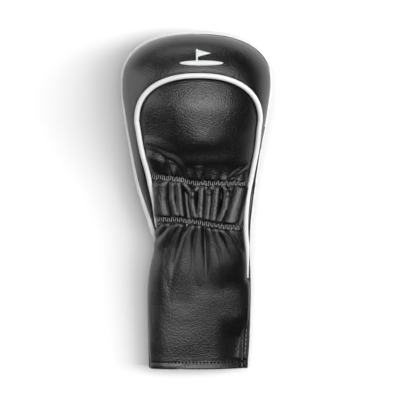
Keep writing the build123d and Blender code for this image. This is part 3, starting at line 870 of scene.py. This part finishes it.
def outer_plan():
    """Plan line (x, d) of the outer piping, from its left tip round the crown to its right."""
    left = np.linspace(OUTER_TIP_LEFT - 2, WIDEST, 120)
    right = np.linspace(WIDEST, OUTER_TIP_RIGHT - 2, 120)
    left_out = (1.0 + 0.8 * (1 - ramp(left, 150, 190))) * (1 - ramp(left, 225, 275))
    right_in = 0.9 - 0.5 * (1 - ramp(right, WIDEST - 90, WIDEST - 30))
    c, s = rounded(np.radians(np.linspace(179, 1, 170)))
    x = np.concatenate([
        side_line(-1, left, 1.0 - left_out), (half_width(WIDEST) - 1.0) * c,
        side_line(1, right, right_in),
    ])
    return x, np.concatenate([left, WIDEST + (CROWN_DEPTH + 1.3) * s, right])


# The outer piping lies in the side seam, higher on the left of the neck and lower on its right
edge_x, edge_d = outer_plan()
edge_z = seam_height(edge_d)
edge_z -= 2.2 * ramp(edge_x, 20, 50) * (1 - ramp(edge_d, WIDEST - 90, WIDEST - 30))
edge_z += 1.8 * (1 - ramp(edge_x, -50, -20)) * (1 - ramp(edge_d, 195, 245))
edge = even(np.stack([edge_x, HEM_Y + edge_d, edge_z], -1), 1.3)
run = run_along(edge)
tip = np.minimum(run / 16, 1) * np.minimum((run[-1] - run) / 16, 1)
out = np.cross(np.gradient(edge, axis=0), (0, 0, 1.0))
out /= np.linalg.norm(out, axis=1, keepdims=True)
edge = edge + out * (1.6 * (1 - tip) ** 2 - 0.1 * noise(run, run * 0, 19, 37))[:, None]
piping("outer_piping", edge, 0.55 + 0.45 * np.minimum(tip * 1.5, 1), (0, 0, 1))

# ------------ foam, lining and elastics

def layer_inset(d):
    """Outer inset of the lining, behind the leather, the elastics and then the foam."""
    behind_elastics = 1.3 * ramp(d, SLEEVE - 12, LOWER_ROW - 6)
    return 1.5 + behind_elastics + 2.5 * ramp(d, UPPER_ROW + 6, UPPER_ROW + 30)


FOAM_STEP = 3.0
FOAM_INSET = 3.25  # of its middle
FOAM_TUCK = 3.1


def foam_piece(name, places, side=1):
    """A foam pad behind one leather panel of the head."""
    sheet = shell_mesh(laid(*places, FOAM_INSET, side), FOAM, side)
    return make(f"{name}_pad", *sheet, FOAM_FINISH, "foam", [name])


foam_front = foam_piece("foam_front", front_places(FOAM_START, FOAM_STEP, 61, FOAM_TUCK))
foam_band = foam_piece("foam_band", band_places(FOAM_START, FOAM_STEP, 21, FOAM_TUCK, 0.997))
foam_back = foam_piece("foam_back", back_places(FOAM_START, FOAM_STEP, 61, (), 0.996), -1)


def lining_piece(face, side):
    """Plush lining of one face, lumpy on its inner side."""
    x, d = back_places(HEM_FOLD + 0.5, 2.5, 81, (), 0.998)
    points = laid(x, d, layer_inset(d) + 1.25, side)
    fluff = 0.5 * noise(x, d, 6, 41 + side) + 0.25 * noise(x, d, 3, 45 + side)
    points = points - grid_normals(points, side) * np.maximum(fluff, 0)[..., None] * 0.5
    sheet = shell_mesh(points, LINING, side)
    return make(f"plush_lining_{face}", *sheet, LINING_FINISH, "lining", [f"lining_{face}"])


linings = [lining_piece("front", 1), lining_piece("back", -1)]


def elastic_piece(face, name, row):
    """A flat tape behind the leather, under one row of zigzag stitches."""
    side = 1 if face == "front" else -1
    left, right = row_ends(row, side, 3.1 if side > 0 else 0.3)
    x, offset = np.meshgrid(np.linspace(left, right, 121), np.linspace(-3, 3, 9))
    sheet = shell_mesh(laid(x, row_d(row, x) + offset, 2.0, side), TAPE, side)
    make(f"elastic_tape_{face}_{name}", *sheet, ELASTIC_FINISH, "elastic", [f"elastic_{face}_{name}"])


for face, name, row in ROWS:
    elastic_piece(face, name, row)

# ------------ stitching and emblem

FACES = {"front": (1, tree_of(front_panel)), "back": (-1, tree_of(back_panel))}
BAND_TREE = tree_of(crown_band)
rng = np.random.default_rng(5)  # the stitches are uneven in the same way each run

ZIGZAG_PITCH = 2.1  # from one stroke to the next, along the row
ZIGZAG_REACH = 2.6  # from the row's line to a stroke's end
ZIGZAG_RADIUS = 0.27
ZIGZAG_HOLE_SHADE = 0.8
ZIGZAG_TAPER = np.array([0.7, 1, 1, 1, 1, 1, 0.7])
HEM_PITCH = 3.6
HEM_RADIUS = 0.3
HEM_HOLE_SHADE = 1.05
HEM_LIFT = np.array([-0.3, 0.1, 0.2, 0.2, 0.1, -0.3])
THREAD_SIDES = 6


def surface_run(x, d, side):
    """Distance along a line over a smooth face."""
    return run_along(skin(x, d, 0, side))


def stitch_shades(places, normals, radius):
    """Small matte black plugs of painted shade, narrower inside, in the holes where a needle went
    through.
    """
    parts = []
    for place, normal in zip(places, normals):
        points = [place + normal * height for height in np.linspace(0.12, -0.25, 3)]
        parts.append(tube(points, [radius, radius, radius * 0.4], (0.3, 0.9, 0.1), 8))
    return parts


def zigzag_row(face, name, row):
    """A row of slanting strokes, with painted shade in their needle holes and dark tubes of painted
    shade where the leather is squeezed between the strokes.
    """
    side, tree = FACES[face]
    left, right = row_ends(row, side, 3.2 if side > 0 else 2.0)
    fine_x = np.linspace(left, right, 400)
    run = surface_run(fine_x, row_d(row, fine_x), side)
    stitch_x = np.interp(np.arange(0, run[-1], ZIGZAG_PITCH), run, fine_x)
    share = np.linspace(0, 1, len(ZIGZAG_TAPER))
    threads, shade_marks = [], []
    for k, (x0, x1) in enumerate(zip(stitch_x, stitch_x[1:])):
        high = ZIGZAG_REACH + rng.uniform(-1.0, 0.5)
        low = -ZIGZAG_REACH + rng.uniform(-0.5, 1.0)
        px = x0 + 0.4 * (x1 - x0) * share
        start, end = (low, high) if k % 2 else (high, low)
        x0 += rng.uniform(-0.3, 0.3)
        pd = start + (end - start) * share + row_d(row, px)
        places, normals = dropped(tree, px, pd, side)
        lift = 0.4 * np.sin(math.pi * share) ** 0.5 - 0.12
        path = places + normals * lift[:, None]
        threads.append(tube(path, ZIGZAG_RADIUS * ZIGZAG_TAPER, normals, THREAD_SIDES))
        shade_marks += stitch_shades(places[[0, -1]], normals[[0, -1]], ZIGZAG_HOLE_SHADE)
        # Painted shade: a dark tube sunk in the leather between this stroke and the next
        places, normals = dropped(tree, px + 0.5 * (x1 - x0), pd, side)
        gap_shade = 0.55 * np.sin(math.pi * (0.1 + 0.8 * share))
        shade_marks.append(tube(places - normals * 0.3, gap_shade, normals, THREAD_SIDES))
    make_joined(f"zigzag_thread_{face}_{name}", threads, THREAD_FINISH, "thread",
                [f"zigzag_{face}_{name}"])
    # The painted shade of the holes and of the gaps between the strokes, as one object
    make_joined(f"stitch_shades_{face}_{name}", shade_marks, HOLE_SHADE_FINISH, "leather")


for face, name, row in ROWS:
    zigzag_row(face, name, row)


def hem_row(side, tree):
    """Running stitches round one face of the hem, and plugs of painted shade in their needle holes."""
    fine_x = np.linspace(float(side_line(-1, 0, 2.5)), float(side_line(1, 0, 2.5)), 400)
    run = surface_run(fine_x, HEM_STITCH, side)
    threads, holes = [], []
    for start in np.arange(1.0, run[-1] - 3, HEM_PITCH):
        px = np.interp(start + np.linspace(0.3, 3.1, len(HEM_LIFT)), run, fine_x)
        places, normals = dropped(tree, px, HEM_STITCH + 0 * px, side)
        threads.append(tube(places + normals * HEM_LIFT[:, None], HEM_RADIUS, normals, THREAD_SIDES))
        hole_x = np.interp([start - 0.1], run, fine_x)
        places, normals = dropped(tree, hole_x, HEM_STITCH + 0 * hole_x, side)
        holes += stitch_shades(places, normals, HEM_HOLE_SHADE)
    return threads, holes


front_row, back_row = (hem_row(*FACES[face]) for face in ("front", "back"))
hem = make_joined("hem_topstitch", front_row[0] + back_row[0], BLACK_THREAD_FINISH, "thread",
                  ["hem_stitch"])
# Painted shade in the hem's needle holes
make_joined("needle_holes_hem", front_row[1] + back_row[1], HOLE_SHADE_FINISH, "leather")

# The emblem: a pennant on its pole, over a long oval
EMBLEM_X = 4.5
EMBLEM_D = LENGTH - 32.0
OVAL_HALF = 21.0
OVAL_RISE = 2.5
POLE_HEIGHT = 13.0
PENNANT_LENGTH = 13.0
PENNANT_RISE = 3.75
PENNANT_MIDDLE = 9.75  # of its hoist, above the oval's middle
POLE_X = EMBLEM_X - PENNANT_LENGTH / 3
SATIN_PITCH = 0.42
SATIN_RADIUS = 0.25


def strand(ends_x, ends_d, height):
    """One satin stitch between two plan points, arched over the leather."""
    share = np.linspace(0, 1, 6)
    px = ends_x[0] + (ends_x[1] - ends_x[0]) * share
    pd = ends_d[0] + (ends_d[1] - ends_d[0]) * share
    places, normals = dropped(BAND_TREE, px, pd)
    lift = height * np.sin(math.pi * share) ** 0.45 - 0.05
    return tube(places + normals * lift[:, None], SATIN_RADIUS, normals, THREAD_SIDES)


def oval_strands():
    """Upright stitches across the oval, with a slightly uneven edge."""
    for offset in np.arange(-20.8, 20.9, SATIN_PITCH):
        half = OVAL_RISE * math.sqrt(1 - (offset / OVAL_HALF) ** 2) + rng.uniform(-0.08, 0.08)
        x0 = EMBLEM_X + offset
        yield strand((x0, x0 + 0.3), (EMBLEM_D - half, EMBLEM_D + half), 0.75)


def pole_strands():
    """Level stitches up the pole."""
    for offset in np.arange(2.0, POLE_HEIGHT + 0.4, SATIN_PITCH):
        foot = EMBLEM_D + offset
        yield strand((POLE_X - 0.8, POLE_X + 0.8), (foot, foot + 0.2), 0.65)


def pennant_strands():
    """Upright stitches from the pole to the pennant's tip."""
    for offset in np.arange(0.7, 12.9, SATIN_PITCH):
        half = PENNANT_RISE * (1 - offset / PENNANT_LENGTH) + 0.1
        x0, middle = POLE_X + offset, EMBLEM_D + PENNANT_MIDDLE
        yield strand((x0, x0 + 0.2), (middle - half, middle + half), 0.7)


strands = [*oval_strands(), *pole_strands(), *pennant_strands()]
emblem = make_joined("pennant_embroidery", strands, EMBROIDERY_FINISH, "embroidery",
                     ["emblem_embroidery"])

x, d = np.meshgrid(np.linspace(EMBLEM_X - 25, EMBLEM_X + 25, 41),
                   np.linspace(EMBLEM_D - 6.5, EMBLEM_D + 15.5, 19))
make("embroidery_backing", *shell_mesh(laid(x, d, 1.3), BACKING), BACKING_FINISH, "backing",
     ["emblem_backing"])

# Threads of the hidden seams, inside the cover
SEAM_RADIUS = 0.2
SEAM_LIFT = 1.2


def band_seam_stitches():
    """Stitches under the inner piping."""
    for k in range(6, len(inner_plan) - 12, 4):
        px, pd = inner_plan[k:k + 3, 0], inner_plan[k:k + 3, 1]
        path = skin(px, pd, layer_inset(pd) + 0.2) + face_normal(px, pd) * -2.0
        yield tube(path, SEAM_RADIUS, (0, 0, 1), THREAD_SIDES)


def seam_stitch(px, pd):
    """One stitch along the side seam, at plan points inside it."""
    path = np.stack([px, HEM_Y + pd, seam_height(pd) + SEAM_LIFT], -1)
    return tube(path, SEAM_RADIUS, (0, 0, 1), THREAD_SIDES)


def side_seam_stitches():
    """Stitches up both side seams, then round the crown."""
    for side in (-1, 1):
        for start in np.arange(HEM_FOLD + 4, WIDEST - 4, 4.5):
            pd = start + np.linspace(0, 3, 3)
            yield seam_stitch(side_line(side, pd, layer_inset(pd) + 1.6), pd)
    for angle in range(4, 177, 4):
        c, s = rounded(np.radians(np.linspace(angle, angle + 2.4, 3)))
        yield seam_stitch((half_width(WIDEST) - 6.9) * c, WIDEST + (CROWN_DEPTH - 6.9) * s)


make_joined("band_seam_thread", list(band_seam_stitches()), THREAD_FINISH, "thread",
            ["band_seam_stitch"])
make_joined("side_seam_thread", list(side_seam_stitches()), THREAD_FINISH, "thread",
            ["side_seam_stitch"])

# ------------ studio

def area_light(name, place, aim, size, watts):
    """A rectangular light at a place in metres, turned to the point it aims at."""
    data = bpy.data.lights.new(name, "AREA")
    data.shape = "RECTANGLE"
    data.size, data.size_y = size
    data.energy = watts
    lamp = bpy.data.objects.new(name, data)
    bpy.context.scene.collection.objects.link(lamp)
    lamp.location = place
    lamp.rotation_euler = (Vector(aim) - Vector(place)).to_track_quat("-Z", "Y").to_euler()
    return lamp


def pale_floor(reach=4.0, height=-0.0002):
    """A wide sheet of paper just under the cover."""
    mesh = bpy.data.meshes.new("floor")
    corners = [(-reach, -reach), (reach, -reach), (reach, reach), (-reach, reach)]
    mesh.from_pydata([(x, y, height) for x, y in corners], [], [(0, 1, 2, 3)])
    mesh.materials.append(floor_finish("paper_floor"))
    floor = bpy.data.objects.new("floor", mesh)
    bpy.context.scene.collection.objects.link(floor)


def studio_world(lighting=0.012, seen=0.85):
    """A white surrounding that lights the cover dimly, and is pale where the camera sees it."""
    world = bpy.data.worlds.new("studio")
    world.use_nodes = True
    tree = world.node_tree
    background = tree.nodes["Background"]
    background.inputs["Color"].default_value = (1, 1, 1, 1)
    background.inputs["Strength"].default_value = lighting
    light_path = tree.nodes.new("ShaderNodeLightPath")
    strength = tree.nodes.new("ShaderNodeMapRange")
    strength.inputs["To Min"].default_value = lighting
    strength.inputs["To Max"].default_value = seen
    tree.links.new(light_path.outputs["Is Camera Ray"], strength.inputs["Value"])
    tree.links.new(strength.outputs["Result"], background.inputs["Strength"])
    bpy.context.scene.world = world


pale_floor()
area_light("key", (0.2, 0.06, 1.9), (0, 0.02, 0.03), (1.32, 1.55), 22.0)
area_light("left_fill", (-1.5, 0.15, 0.55), (0, 0.05, 0.04), (1.0, 1.7), 8.0)
area_light("top_fill", (-0.3, 1.6, 0.8), (0, 0.1, 0.05), (1.6, 0.5), 5.4)
right_side = area_light("right_side", (2.3, 0.1, 2.1), (0, 0, 0), (1.3, 2.2), 82)
right_side.visible_glossy = False  # it lights the paper and the piping, with no second highlight
studio_world()
bpy.context.scene.view_settings.view_transform = "Standard"

# Straight above, through a long lens
camera_data = bpy.data.cameras.new("camera")
camera_data.sensor_width = 36
camera_data.lens = 135
camera = bpy.data.objects.new("camera", camera_data)
bpy.context.scene.collection.objects.link(camera)
camera.location = (0.00325, 0.00085, 1.542)
camera.rotation_euler = (0, 0, 0)
bpy.context.scene.camera = camera
